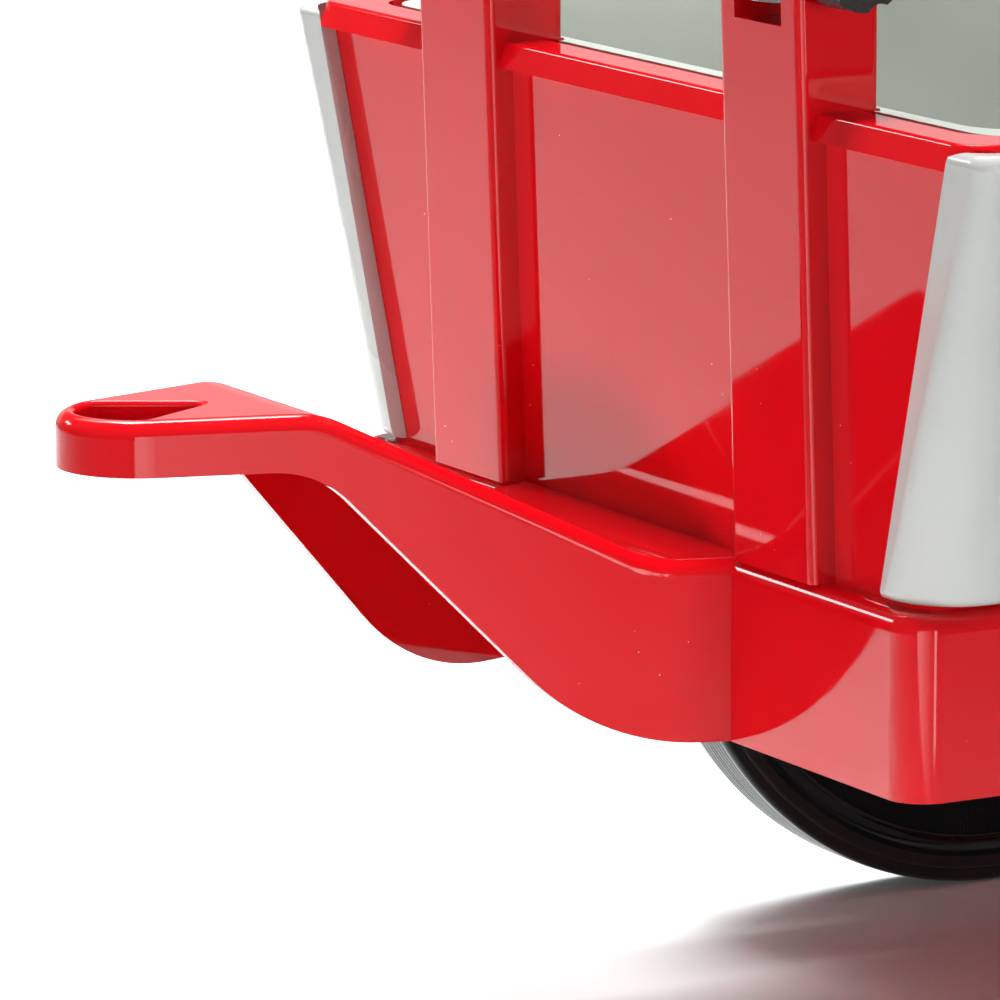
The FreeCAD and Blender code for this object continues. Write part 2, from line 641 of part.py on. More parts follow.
def make_wringer_frame():
    front = size("frame_front")
    back = size("frame_back")
    half = size("frame_half_width")
    wall = size("frame_wall")
    low = size("frame_bottom")
    high = size("frame_top")
    lower_back = back_x - 45
    flange_z = rim_top - 0.5
    shaft_x = size("shaft_x")
    shaft_z = size("shaft_height")
    profile = [
        Vector(front, 0, low), Vector(front, 0, high - 10), Vector(front + 12, 0, high),
        Vector(back - 20, 0, high), Vector(back, 0, high - 20), Vector(back, 0, flange_z + 2),
        Vector(lower_back, 0, flange_z + 2), Vector(lower_back, 0, low + 40), Vector(lower_back - 30, 0, low),
    ]
    side = Part.Face(Part.makePolygon(profile + profile[:1])).extrude(Vector(0, wall, 0))
    side.translate(Vector(0, half - wall, 0))
    for column in range(4):
        x = front + 30 + column * 34
        slot = box((x - 5, x + 5), (half - 10, half + 10), (low + 20, flange_z - 20))
        side = side.cut(slot)
    boss = rod(17, 8, (shaft_x, half - wall, shaft_z), (0, 1, 0))
    side = side.fuse(boss)
    hanger = box((front, lower_back - 4), (half - wall, 159.5), (flange_z, flange_z + 3))
    lip = box((front + 10, lower_back - 14), (142.0, 145.0), (flange_z - 12, flange_z + 1))
    gusset_face = [Vector(0, half - 1, flange_z - 24), Vector(0, half - 1, flange_z + 1),
                   Vector(0, half + 24, flange_z + 1)]
    for x in (front + 6, lower_back - 14):
        gusset = Part.Face(Part.makePolygon(gusset_face + gusset_face[:1])).extrude(Vector(3, 0, 0))
        gusset.translate(Vector(x, 0, 0))
        hanger = hanger.fuse(gusset)
    side = side.fuse(hanger).fuse(lip)
    bore = rod(12, 60, (shaft_x, half - 20, shaft_z), (0, 1, 0))
    side = side.cut(bore)
    frame = side.fuse(mirrored(side))
    front_wall = box((front, front + wall), (-half + 1, half - 1), (low, high - 60))
    holes = []
    for row in range(4):
        for column in range(9):
            holes.append((front - 5, -88 + column * 22, low + 22 + row * 20))
    front_wall = hole_grid(front_wall, holes, 5, (1, 0, 0))
    tie_front = box((front - 3, front + wall), (-half + 1, half - 1), (high - 66, high - 56))
    tie_back = box((back - 14, back - 6), (-half + 1, half - 1), (flange_z + 33, flange_z + 58))
    lower_tie = box((lower_back - wall, lower_back), (-half + 1, half - 1), (low + 44, flange_z - 2))
    frame = frame.fuse(front_wall).fuse(tie_front).fuse(tie_back).fuse(lower_tie)
    shaped("wringer_frame", frame)

    floor = box((front + wall, lower_back - 31), (-half + wall, half - wall), (low, low + 3))
    holes = []
    for row in range(6):
        for column in range(10):
            holes.append((front + 20 + row * 22, -94 + column * 20.8, low - 5))
    shaped("wringer_floor", hole_grid(floor, holes, 5, (0, 0, 1)))


def make_lever_parts():
    shaft_x = size("shaft_x")
    shaft_z = size("shaft_height")
    half = size("frame_half_width")
    lever_y = size("lever_y")
    shaft = rod(size("shaft_radius"), lever_y + 10 + half + 11, (shaft_x, -lever_y - 10, shaft_z), (0, 1, 0))
    shaped("lever_shaft", shaft)
    module = size("tooth_module")
    width = size("gear_outer") - size("gear_inner") - 1.0
    gear = gear_shape(size("tooth_count"), module, width)
    gear = gear.fuse(rod(12.5, 18, (0, width - 18, 0), (0, 1, 0)))
    gear = gear.cut(rod(size("shaft_radius"), 60, (0, -30, 0), (0, 1, 0)))
    gear.translate(Vector(shaft_x, size("gear_inner") + 0.5, shaft_z))
    shaped("pinion_left", gear)
    shaped("pinion_right", mirrored(gear))

    tube = size("lever_tube")
    hub = rod(17, 20, (shaft_x, -lever_y - 10, shaft_z), (0, 1, 0))
    arm = rod(tube, size("lever_length"), (shaft_x, -lever_y, shaft_z + 8), (0, 0, 1))
    arm_bore = rod(tube - 2, size("lever_length"), (shaft_x, -lever_y, shaft_z + 30), (0, 0, 1))
    lever = hub.fuse(arm).cut(arm_bore).cut(rod(size("shaft_radius"), 80, (shaft_x, -lever_y - 40, shaft_z),
                                                (0, 1, 0)))
    shaped("lever_arm", lever)


def make_mop_head():
    low = size("head_bottom")
    high = size("head_top")
    radius = size("head_radius")
    points = [
        Vector(0, 0, low), Vector(radius - 6, 0, low), Vector(radius, 0, low + 12),
        Vector(radius - 3, 0, low + 60), Vector(radius - 16, 0, high - 20), Vector(20, 0, high),
        Vector(0, 0, high),
    ]
    face = Part.Face(Part.makePolygon(points + points[:1]))
    head = face.revolve(Vector(0, 0, 0), Vector(0, 0, 1), 360)
    head = head.cut(rod(size("socket_radius"), 60, (0, 0, high - 22), (0, 0, 1)))
    head.translate(Vector(size("mop_x"), 0, 0))
    shaped("mop_head", head)


def make_push_handle():
    """A bent tube: two legs and a cross bar, with a bolt hole in each leg."""
    x = size("handle_x")
    leg = size("handle_leg")
    low = size("handle_pivot") - 12
    high = size("handle_top") - size("handle_tube")
    points = [Vector(x, -leg, low), Vector(x, -leg, high), Vector(x, leg, high), Vector(x, leg, low)]
    path = Part.Wire(bent_line(points, [size("handle_bend")] * 2))
    outer = Part.Face(Part.Wire(Part.makeCircle(size("handle_tube"), points[0], Vector(0, 0, 1))))
    inner = Part.Face(Part.Wire(Part.makeCircle(size("handle_bore"), points[0], Vector(0, 0, 1))))
    tube = path.makePipe(outer).cut(path.makePipe(inner))
    hole = rod(size("bolt_radius") + size("running_gap"), 300, (x, -150, size("handle_pivot")), (0, 1, 0))
    shaped("push_handle", tube.cut(hole))


make_chassis()
make_tongue()
make_body_shell()
make_side_panels()
make_bucket()
make_push_handle()
make_press_plates()
make_wringer_frame()
make_lever_parts()
make_mop_head()

# Axle, its blocks, spacers and caps
turned("axle", [("0", "-axle_half_length"), ("axle_radius", "-axle_half_length"),
                ("axle_radius", "axle_half_length"), ("0", "axle_half_length")],
       ("wheel_x", "0", "wheel_radius"), ALONG_Y)

for side, name in ((1, "left"), (-1, "right")):
    sign = "" if side > 0 else "-"

    block = document.addObject("Part::Box", "Block")
    bind(block, "Length", "block_length")
    bind(block, "Width", "block_width")
    bind(block, "Height", "base_bottom + base_height - base_wall - wheel_radius + 14")
    bind(block, "Placement.Base.x", "wheel_x - block_length / 2")
    bind(block, "Placement.Base.y", f"{sign}1 * block_track - block_width / 2")
    bind(block, "Placement.Base.z", "wheel_radius - 14")
    bore = document.addObject("Part::Cylinder", "BlockBore")
    bind(bore, "Radius", "axle_radius")
    bind(bore, "Height", "block_width + 10")
    bore.Placement = Placement(Vector(0, 0, 0), ALONG_Y)
    bind(bore, "Placement.Base.x", "wheel_x")
    bind(bore, "Placement.Base.y", f"{sign}1 * block_track - block_width / 2 - 5")
    bind(bore, "Placement.Base.z", "wheel_radius")
    drilled = document.addObject("Part::Cut", f"axle_block_{name}")
    drilled.Base = block
    drilled.Tool = bore
    finished(drilled, f"axle_block_{name}")

    turned(f"axle_spacer_{name}",
           [("axle_radius", "base_width / 2 + 1"), ("axle_radius + 4", "base_width / 2 + 1"),
            ("axle_radius + 4", "wheel_track - hub_half_length - 0.6"),
            ("axle_radius", "wheel_track - hub_half_length - 0.6")],
           ("wheel_x", "0", "wheel_radius"), Rotation(Vector(1, 0, 0), -90 * side))
    turned(f"axle_cap_{name}",
           [("axle_radius", "wheel_track + hub_half_length + 0.6"),
            ("cap_radius", "wheel_track + hub_half_length + 0.6"),
            ("cap_radius", "wheel_track + hub_half_length + 3"),
            ("cap_radius - 3", "axle_half_length + 1"), ("0", "axle_half_length + 2"),
            ("0", "axle_half_length"), ("axle_radius", "axle_half_length")],
           ("wheel_x", "0", "wheel_radius"), Rotation(Vector(1, 0, 0), -90 * side))
    turned(f"hub_bush_{name}",
           [("axle_radius + running_gap", "wheel_track - hub_half_length"),
            ("bush_radius", "wheel_track - hub_half_length"),
            ("bush_radius", "wheel_track + hub_half_length"),
            ("axle_radius + running_gap", "wheel_track + hub_half_length")],
           ("wheel_x", "0", "wheel_radius"), Rotation(Vector(1, 0, 0), -90 * side))
    turned(f"wheel_{name}",
           [("bush_radius", "wheel_track - hub_half_length"),
            ("hub_radius - 2", "wheel_track - hub_half_length"),
            ("hub_radius", "wheel_track - hub_half_length + 2"),
            ("hub_radius + 8", "wheel_track - wheel_width / 2 + 7"),
            ("wheel_radius - 32", "wheel_track - wheel_width / 2 + 6"),
            ("wheel_radius - 16", "wheel_track - wheel_width / 2 + 0.6"),
            ("wheel_radius - 3", "wheel_track - wheel_width / 2"),
            ("wheel_radius - 0.8", "wheel_track - wheel_width / 2 + 0.8"),
            ("wheel_radius", "wheel_track - wheel_width / 2 + 3"),
            ("wheel_radius", "wheel_track + wheel_width / 2 - 3"),
            ("wheel_radius - 0.8", "wheel_track + wheel_width / 2 - 0.8"),
            ("wheel_radius - 3", "wheel_track + wheel_width / 2"),
            ("wheel_radius - 16", "wheel_track + wheel_width / 2 - 0.6"),
            ("wheel_radius - 32", "wheel_track + wheel_width / 2 - 6"),
            ("hub_radius + 8", "wheel_track + wheel_width / 2 - 7"),
            ("hub_radius", "wheel_track + hub_half_length - 2"),
            ("hub_radius - 2", "wheel_track + hub_half_length"),
            ("bush_radius", "wheel_track + hub_half_length")],
           ("wheel_x", "0", "wheel_radius"), Rotation(Vector(1, 0, 0), -90 * side))

    # Caster: fork with its stem, axle, wheel and tyre
    fork_half = size("fork_gap") / 2
    plate = size("fork_plate")
    swivel = (size("caster_x"), side * size("caster_track"))
    wheel_centre = swivel[0] + size("caster_trail")
    fork_top = base_bottom - 3.0
    crown_low = fork_top - 5.0
    stem = rod(size("stem_radius"), size("stem_length") + 3, (*swivel, fork_top - 1), (0, 0, 1))
    crown = box((swivel[0] - 20, wheel_centre + 6),
                (swivel[1] - fork_half - plate, swivel[1] + fork_half + plate), (crown_low, fork_top))
    collar = rod(12, 3.5, (*swivel, fork_top - 0.5), (0, 0, 1))
    fork = crown.fuse(stem).fuse(collar)
    eye_z = size("caster_radius")
    cheek_outline = [
        Vector(swivel[0] - 20, 0, fork_top), Vector(swivel[0] - 20, 0, fork_top - 14),
        Vector(wheel_centre - 11, 0, eye_z - 4), Vector(wheel_centre - 7, 0, eye_z - 10),
        Vector(wheel_centre + 7, 0, eye_z - 10), Vector(wheel_centre + 11, 0, eye_z - 4),
        Vector(wheel_centre + 6, 0, fork_top),
    ]
    for edge_y in (swivel[1] - fork_half - plate, swivel[1] + fork_half):
        cheek = Part.Face(Part.makePolygon(cheek_outline + cheek_outline[:1])).extrude(Vector(0, plate, 0))
        cheek.translate(Vector(0, edge_y, 0))
        fork = fork.fuse(cheek)
    fork = fork.cut(rod(size("caster_axle_radius"), 60, (wheel_centre, swivel[1] - 30, size("caster_radius")),
                        (0, 1, 0)))
    shaped(f"caster_fork_{name}", fork)
    caster_place = ("caster_x + caster_trail", f"{sign}1 * caster_track", "caster_radius")
    turned(f"caster_axle_{name}",
           [("0", "-fork_gap / 2 - fork_plate - 4"),
            ("caster_axle_radius + 3", "-fork_gap / 2 - fork_plate - 4"),
            ("caster_axle_radius + 3", "-fork_gap / 2 - fork_plate"),
            ("caster_axle_radius", "-fork_gap / 2 - fork_plate"),
            ("caster_axle_radius", "fork_gap / 2 + fork_plate"),
            ("caster_axle_radius + 3", "fork_gap / 2 + fork_plate"),
            ("caster_axle_radius + 3", "fork_gap / 2 + fork_plate + 4"),
            ("0", "fork_gap / 2 + fork_plate + 4")],
           caster_place, ALONG_Y)
    turned(f"caster_wheel_{name}",
           [("caster_axle_radius + running_gap", "-fork_gap / 2 + 0.5"),
            ("caster_axle_radius + 6", "-fork_gap / 2 + 0.5"),
            ("caster_axle_radius + 8", "-caster_width / 2 + 5"),
            ("caster_radius - caster_tyre - 5", "-caster_width / 2 + 5"),
            ("caster_radius - caster_tyre - 2", "-caster_width / 2 + 1"),
            ("caster_radius - caster_tyre", "-caster_width / 2 + 1"),
            ("caster_radius - caster_tyre", "caster_width / 2 - 1"),
            ("caster_radius - caster_tyre - 2", "caster_width / 2 - 1"),
            ("caster_radius - caster_tyre - 5", "caster_width / 2 - 5"),
            ("caster_axle_radius + 8", "caster_width / 2 - 5"),
            ("caster_axle_radius + 6", "fork_gap / 2 - 0.5"),
            ("caster_axle_radius + running_gap", "fork_gap / 2 - 0.5")],
           caster_place, ALONG_Y)
    turned(f"caster_tyre_{name}",
           [("caster_radius - caster_tyre", "-caster_width / 2 + 1"),
            ("caster_radius - caster_tyre + 2", "-caster_width / 2"),
            ("caster_radius - 3", "-caster_width / 2"), ("caster_radius", "-caster_width / 2 + 4"),
            ("caster_radius", "caster_width / 2 - 4"), ("caster_radius - 3", "caster_width / 2"),
            ("caster_radius - caster_tyre + 2", "caster_width / 2"),
            ("caster_radius - caster_tyre", "caster_width / 2 - 1")],
           caster_place, ALONG_Y)

    # Handle knob on the outer end of each pillar's bolt
    knob_radius = size("knob_radius")
    knob = rod(knob_radius, 12, (0, 0, 0), (0, 0, 1))
    for lobe in range(5):
        angle = math.radians(72 * lobe)
        reach = knob_radius + 2.5
        notch = rod(4, 30, (reach * math.cos(angle), reach * math.sin(angle), -5), (0, 0, 1))
        knob = knob.cut(notch)
    knob = knob.fuse(rod(8, 4, (0, 0, -4), (0, 0, 1)))
    knob = knob.cut(rod(size("bolt_radius") + size("running_gap"), 16, (0, 0, -5), (0, 0, 1)))
    knob.rotate(Vector(0, 0, 0), Vector(1, 0, 0), -90 * side)
    knob.translate(Vector(size("handle_x"), side * (size("pillar_outer") + 4.4), size("handle_pivot")))
    shaped(f"handle_knob_{name}", knob)

    # Bush in the wringer's side, and the guard over its gears
    turned(f"shaft_bush_{name}",
           [("shaft_radius + running_gap", "frame_half_width - frame_wall - 2"),
            ("15", "frame_half_width - frame_wall - 2"),
            ("15", "frame_half_width - frame_wall"), ("12", "frame_half_width - frame_wall"),
            ("12", "frame_half_width + 5"), ("shaft_radius + running_gap", "frame_half_width + 5")],
           ("shaft_x", "0", "shaft_height"), Rotation(Vector(1, 0, 0), -90 * side))
    guard_x = (size("shaft_x") - 50, size("shaft_x") + 50)
    guard_inner = size("gear_inner") - 6
    guard_outer = size("frame_half_width") + 6
    guard_foot = size("frame_top")
    guard = box(guard_x, (guard_inner, guard_outer), (guard_foot, guard_foot + 3))
    skirt = box(guard_x, (guard_outer - 3, guard_outer), (guard_foot - 18, guard_foot + 3))
    lip = box(guard_x, (guard_inner, guard_inner + 3), (guard_foot - 6, guard_foot + 3))
    guard = guard.fuse(skirt).fuse(lip)
    shaped(f"gear_cover_{name}", guard if side > 0 else mirrored(guard))

# Handle bolts: one node, a bolt through each pillar
bolt_pair = []
for side in (1, -1):
    leg = size("handle_leg")
    length = size("pillar_outer") + 14 - (size("pillar_inner") - 1)
    bolt = rod(size("bolt_radius"), length, (0, 0, 0), (0, 0, 1))
    bolt = bolt.fuse(rod(6.5, 5, (0, 0, -5), (0, 0, 1)))
    bolt.rotate(Vector(0, 0, 0), Vector(1, 0, 0), -90 * side)
    bolt.translate(Vector(size("handle_x"), side * (size("pillar_inner") - 0.05), size("handle_pivot")))
    bolt_pair.append(bolt)
shaped("handle_bolts", Part.makeCompound(bolt_pair))

# Grips, caps and the mop's turned pieces
turned("handle_grip",
       [("handle_tube", "-grip_length / 2"), ("grip_radius - 1.5", "-grip_length / 2"),
        ("grip_radius", "-grip_length / 2 + 2"), ("grip_radius", "grip_length / 2 - 2"),
        ("grip_radius - 1.5", "grip_length / 2"), ("handle_tube", "grip_length / 2")],
       ("handle_x", "0", "handle_top - handle_tube"), ALONG_Y)
turned("lever_grip",
       [("lever_tube", "lever_length - 120"), ("lever_tube + 4.5", "lever_length - 120"),
        ("lever_tube + 4.5", "lever_length - 112"), ("lever_tube + 3", "lever_length - 106"),
        ("lever_tube + 3.5", "lever_length + 4"), ("lever_tube - 2", "lever_length + 14"),
        ("0", "lever_length + 16"),
        ("0", "lever_length + 8"), ("lever_tube", "lever_length + 8")],
       ("shaft_x", "-lever_y", "shaft_height"))
turned("lever_cap",
       [("shaft_radius", "frame_half_width + 6"), ("13", "frame_half_width + 6"),
        ("13", "frame_half_width + 10"),
        ("10", "frame_half_width + 13"), ("0", "frame_half_width + 13"), ("0", "frame_half_width + 11"),
        ("shaft_radius", "frame_half_width + 11")],
       ("shaft_x", "0", "shaft_height"), ALONG_Y)
turned("mop_pole",
       [("pole_radius - 1.2", "head_top + 8"), ("pole_radius", "head_top + 8"),
        ("pole_radius", "pole_top - 6"), ("pole_radius - 1.2", "pole_top - 6")],
       ("mop_x", "0", "0"))
turned("mop_socket",
       [("0", "head_top - 22"), ("socket_radius - 4", "head_top - 22"),
        ("socket_radius - 4", "head_top - 20"), ("socket_radius", "head_top - 18"),
        ("socket_radius", "head_top + 12"), ("socket_radius - 2.5", "head_top + 60"),
        ("pole_radius", "head_top + 60"), ("pole_radius", "head_top + 8"), ("0", "head_top + 8")],
       ("mop_x", "0", "0"))
turned("mop_clamp",
       [("socket_radius", "head_top + 1"), ("socket_radius + 5", "head_top + 1"),
        ("socket_radius + 6", "head_top + 4"),
        ("socket_radius + 5", "head_top + 11"), ("socket_radius", "head_top + 11")],
       ("mop_x", "0", "0"))
turned("mop_grip",
       [("pole_radius", "pole_top - 150"), ("pole_radius + 2.5", "pole_top - 150"),
        ("pole_radius + 3", "pole_top - 146"), ("pole_radius + 3", "pole_top - 10"),
        ("pole_radius", "pole_top"), ("0", "pole_top"), ("0", "pole_top - 6"),
        ("pole_radius", "pole_top - 6")],
       ("mop_x", "0", "0"))

# Return spring: a coil round the middle of the shaft, behind the rear plate
spring_turns = 9
spring_pitch = 4.2
coil = Part.makeHelix(spring_pitch, spring_pitch * spring_turns, 12.0)
wire_section = Part.Wire(Part.makeCircle(1.25, Vector(12.0, 0, 0), Vector(0, 1, 0)))
spring = Part.Wire(coil.Edges).makePipeShell([wire_section], True, True)
spring.rotate(Vector(0, 0, 0), Vector(1, 0, 0), -90)
spring.translate(Vector(size("shaft_x"), -spring_pitch * spring_turns / 2, size("shaft_height")))
shaped("return_spring", spring)

# Screws, grouped by what they hold
tongue_screw_set = []
for y in (-50, 50):
    for z in (base_bottom + 12, base_bottom + 34):
        tongue_screw_set.append(rod(4.5, 3.5, (front_x + size("base_wall"), y, z), (1, 0, 0)))
shaped("tongue_screws", Part.makeCompound(tongue_screw_set))

document.recompute()
failed = [item.Name for item in document.Objects if "Invalid" in item.State or "Error" in item.State]
if failed:
    raise RuntimeError(f"failed objects: {failed}")
for item in parts:
    shape = item.Shape
    if shape.isNull() or not shape.isValid():
        raise RuntimeError(f"{item.Label} has no valid shape")

os.makedirs("parts", exist_ok=True)
for item in parts:
    item.Shape.exportStep(f"parts/{item.Label}.step")
    print(f"{item.Label}: {len(item.Shape.Solids)} solid(s), {item.Shape.Volume / 1000:.1f} cm3")
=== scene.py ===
import json
import math
import random

import bmesh
import bpy
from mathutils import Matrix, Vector


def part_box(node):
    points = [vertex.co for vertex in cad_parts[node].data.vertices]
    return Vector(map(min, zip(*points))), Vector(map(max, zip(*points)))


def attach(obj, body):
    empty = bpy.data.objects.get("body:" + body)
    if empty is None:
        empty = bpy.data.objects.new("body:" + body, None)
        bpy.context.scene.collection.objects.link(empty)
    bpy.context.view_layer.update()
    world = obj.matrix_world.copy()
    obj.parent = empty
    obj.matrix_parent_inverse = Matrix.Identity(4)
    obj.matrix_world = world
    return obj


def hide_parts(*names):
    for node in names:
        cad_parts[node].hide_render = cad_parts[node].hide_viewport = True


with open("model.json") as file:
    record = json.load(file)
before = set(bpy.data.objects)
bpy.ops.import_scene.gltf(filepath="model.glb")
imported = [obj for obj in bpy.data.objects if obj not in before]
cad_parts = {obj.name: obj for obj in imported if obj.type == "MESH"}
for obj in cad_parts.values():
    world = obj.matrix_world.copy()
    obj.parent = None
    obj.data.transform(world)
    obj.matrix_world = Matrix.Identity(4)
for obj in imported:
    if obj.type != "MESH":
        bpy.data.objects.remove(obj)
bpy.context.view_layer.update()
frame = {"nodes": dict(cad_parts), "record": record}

record = frame["record"]
slot_of = {entry["node"]: entry["material_slot"] for entry in record["subparts"]}
collection = bpy.context.scene.collection


# ---------------------------------------------------------------- material helpers

def new_material(name):
    """A node material, with its tree and its Principled shader."""
    material = bpy.data.materials.new(name)
    material.use_nodes = True
    tree = material.node_tree
    shader = tree.nodes["Principled BSDF"]
    return material, tree, shader


def add(tree, kind, inputs=None, **settings):
    """A node with its settings and plain input values."""
    node = tree.nodes.new(kind)
    for key, value in settings.items():
        setattr(node, key, value)
    for key, value in (inputs or {}).items():
        node.inputs[key].default_value = value
    return node


def coordinates(tree, scale=(1, 1, 1), rotation=(0, 0, 0)):
    """The object's own coordinates in metres, stretched and turned."""
    place = add(tree, "ShaderNodeTexCoord")
    mapping = add(tree, "ShaderNodeMapping", {"Scale": scale, "Rotation": rotation})
    tree.links.new(place.outputs["Object"], mapping.inputs["Vector"])
    return mapping.outputs["Vector"]


def noise(tree, vector, scale, detail=4.0, roughness=0.55):
    node = add(tree, "ShaderNodeTexNoise", {"Scale": scale, "Detail": detail, "Roughness": roughness})
    tree.links.new(vector, node.inputs["Vector"])
    return node.outputs["Fac"]


def ramp(tree, value, stops):
    """Map a value through colour stops, given as (position, colour) pairs."""
    node = add(tree, "ShaderNodeValToRGB")
    band = node.color_ramp
    while len(band.elements) < len(stops):
        band.elements.new(0.5)
    for element, (position, colour) in zip(band.elements, stops):
        element.position = position
        element.color = (*colour, 1.0)
    tree.links.new(value, node.inputs["Fac"])
    return node.outputs["Color"]


def spread(tree, value, low, high, from_low=0.35, from_high=0.65):
    """Map a value's range onto low..high, held at its ends."""
    node = add(tree, "ShaderNodeMapRange",
               {"From Min": from_low, "From Max": from_high, "To Min": low, "To Max": high})
    tree.links.new(value, node.inputs["Value"])
    return node.outputs["Result"]


def math_node(tree, operation, first, second=0.0):
    """One operation on two values, each a number or a socket."""
    node = add(tree, "ShaderNodeMath", operation=operation)
    for socket, value in zip(node.inputs, (first, second)):
        if isinstance(value, (int, float)):
            socket.default_value = value
        else:
            tree.links.new(value, socket)
    return node.outputs[0]


def bump(tree, shader, height, strength, distance):
    node = add(tree, "ShaderNodeBump", {"Strength": strength, "Distance": distance})
    tree.links.new(height, node.inputs["Height"])
    tree.links.new(node.outputs["Normal"], shader.inputs["Normal"])


def scuffs(tree, vector, angle, scale, width):
    """Fine straight marks: noise stretched along one direction, cut to a thin line, in patches."""
    stretched = coordinates(tree, (scale, scale * 0.03, scale * 0.05), (0.3, 0.2, angle))
    centred = math_node(tree, "SUBTRACT", noise(tree, stretched, 1.0, 2.0, 0.4), 0.5)
    line = spread(tree, math_node(tree, "ABSOLUTE", centred), 1.0, 0.0, 0.0, width)
    patch = spread(tree, noise(tree, vector, 16.0, 2.0), 0.0, 1.0, 0.56, 0.66)
    return math_node(tree, "MULTIPLY", line, patch)


def specks(tree, vector, scale, size):
    """Sparse dust grains: the middles of a few cells."""
    cells = add(tree, "ShaderNodeTexVoronoi", {"Scale": scale, "Randomness": 1.0})
    tree.links.new(vector, cells.inputs["Vector"])
    grain = spread(tree, cells.outputs["Distance"], 1.0, 0.0, size * 0.5, size)
    patch = spread(tree, noise(tree, vector, 30.0, 2.0), 0.0, 1.0, 0.58, 0.64)
    return math_node(tree, "MULTIPLY", grain, patch)


# ---------------------------------------------------------------- materials

# Places of a Mix node's colour sockets
MIX_FIRST = 6
MIX_SECOND = 7
MIX_RESULT = 2


def polished_plastic(name, colour, lighter, dust, roughness, ripple):
    """Polished moulded plastic: slow ripple from the mould, faint scuffs and a few grains of dust."""
    material, tree, shader = new_material(name)
    vector = coordinates(tree)
    tint = ramp(tree, noise(tree, vector, 7.0, 3.0), [(0.35, colour), (0.65, lighter)])
    grains = specks(tree, vector, 210.0, 0.05)
    dusty = add(tree, "ShaderNodeMix", data_type="RGBA")
    tree.links.new(grains, dusty.inputs["Factor"])
    tree.links.new(tint, dusty.inputs[MIX_FIRST])
    dusty.inputs[MIX_SECOND].default_value = (*dust, 1.0)
    tree.links.new(dusty.outputs[MIX_RESULT], shader.inputs["Base Color"])
    marks = math_node(tree, "MAXIMUM", scuffs(tree, vector, 0.5, 120.0, 0.004),
                      scuffs(tree, vector, 2.2, 90.0, 0.004))
    haze = spread(tree, noise(tree, vector, 30.0, 5.0), roughness * 0.7, roughness * 1.5)
    worn = math_node(tree, "ADD", haze, math_node(tree, "MULTIPLY", marks, 0.18))
    worn = math_node(tree, "ADD", worn, math_node(tree, "MULTIPLY", grains, 0.5))
    tree.links.new(worn, shader.inputs["Roughness"])
    height = math_node(tree, "ADD", noise(tree, vector, 11.0, 1.0),
                       math_node(tree, "MULTIPLY", noise(tree, vector, 420.0, 2.0), 0.02))
    bump(tree, shader, height, ripple, 0.0008)
    return material


def satin_plastic(name, colour, lighter, roughness, grain, ripple=0.15):
    """Satin moulded plastic: uneven gloss and a fine grain."""
    material, tree, shader = new_material(name)
    vector = coordinates(tree)
    tint = ramp(tree, noise(tree, vector, 9.0, 4.0), [(0.35, colour), (0.65, lighter)])
    tree.links.new(tint, shader.inputs["Base Color"])
    fine = noise(tree, vector, grain, 3.0)
    uneven = math_node(tree, "MULTIPLY", spread(tree, noise(tree, vector, 26.0, 5.0), 0.8, 1.25),
                       spread(tree, fine, roughness * 0.85, roughness * 1.15))
    tree.links.new(uneven, shader.inputs["Roughness"])
    height = math_node(tree, "ADD", noise(tree, vector, 12.0, 1.0), math_node(tree, "MULTIPLY", fine, 0.15))
    bump(tree, shader, height, ripple, 0.0006)
    return material


def metallic_plastic(name, colour, lighter):
    """Plastic with a silver flake under a smooth surface."""
    material, tree, shader = new_material(name)
    vector = coordinates(tree)
    flake = noise(tree, vector, 3800.0, 1.0)
    slow = noise(tree, vector, 8.0, 3.0)
    blend = math_node(tree, "ADD", math_node(tree, "MULTIPLY", flake, 0.08),
                      math_node(tree, "MULTIPLY", slow, 0.92))
    tree.links.new(ramp(tree, blend, [(0.4, colour), (0.6, lighter)]), shader.inputs["Base Color"])
    tree.links.new(spread(tree, slow, 0.24, 0.30), shader.inputs["Roughness"])
    shader.inputs["Metallic"].default_value = 0.08
    shader.inputs["Coat Weight"].default_value = 0.2
    shader.inputs["Coat Roughness"].default_value = 0.05
    bump(tree, shader, noise(tree, vector, 12.0, 1.0), 0.12, 0.0006)
    return material


def textured_plastic(name, colour, lighter, roughness, pebble):
    """Plastic with a fine pebble grain from the mould."""
    material, tree, shader = new_material(name)
    vector = coordinates(tree)
    tint = ramp(tree, noise(tree, vector, 12.0, 4.0), [(0.35, colour), (0.65, lighter)])
    tree.links.new(tint, shader.inputs["Base Color"])
    cells = add(tree, "ShaderNodeTexVoronoi", {"Scale": pebble})
    tree.links.new(vector, cells.inputs["Vector"])
    fine = noise(tree, vector, pebble * 0.7, 4.0)
    tree.links.new(spread(tree, fine, roughness * 0.85, roughness * 1.2), shader.inputs["Roughness"])
    bump(tree, shader, math_node(tree, "ADD", cells.outputs["Distance"], fine), 0.35, 0.0003)
    return material


def brushed_metal(name, colour, darker, roughness, along):
    """Metal with fine drawing marks that run along one axis."""
    material, tree, shader = new_material(name)
    stretch = [900.0, 900.0, 900.0]
    stretch["xyz".index(along)] = 14.0
    lines = noise(tree, coordinates(tree, tuple(stretch)), 1.0, 3.0)
    slow = noise(tree, coordinates(tree), 20.0, 4.0)
    tree.links.new(ramp(tree, slow, [(0.3, darker), (0.7, colour)]), shader.inputs["Base Color"])
    tree.links.new(spread(tree, lines, roughness * 0.7, roughness * 1.5), shader.inputs["Roughness"])
    shader.inputs["Metallic"].default_value = 1.0
    bump(tree, shader, lines, 0.12, 0.0002)
    return material


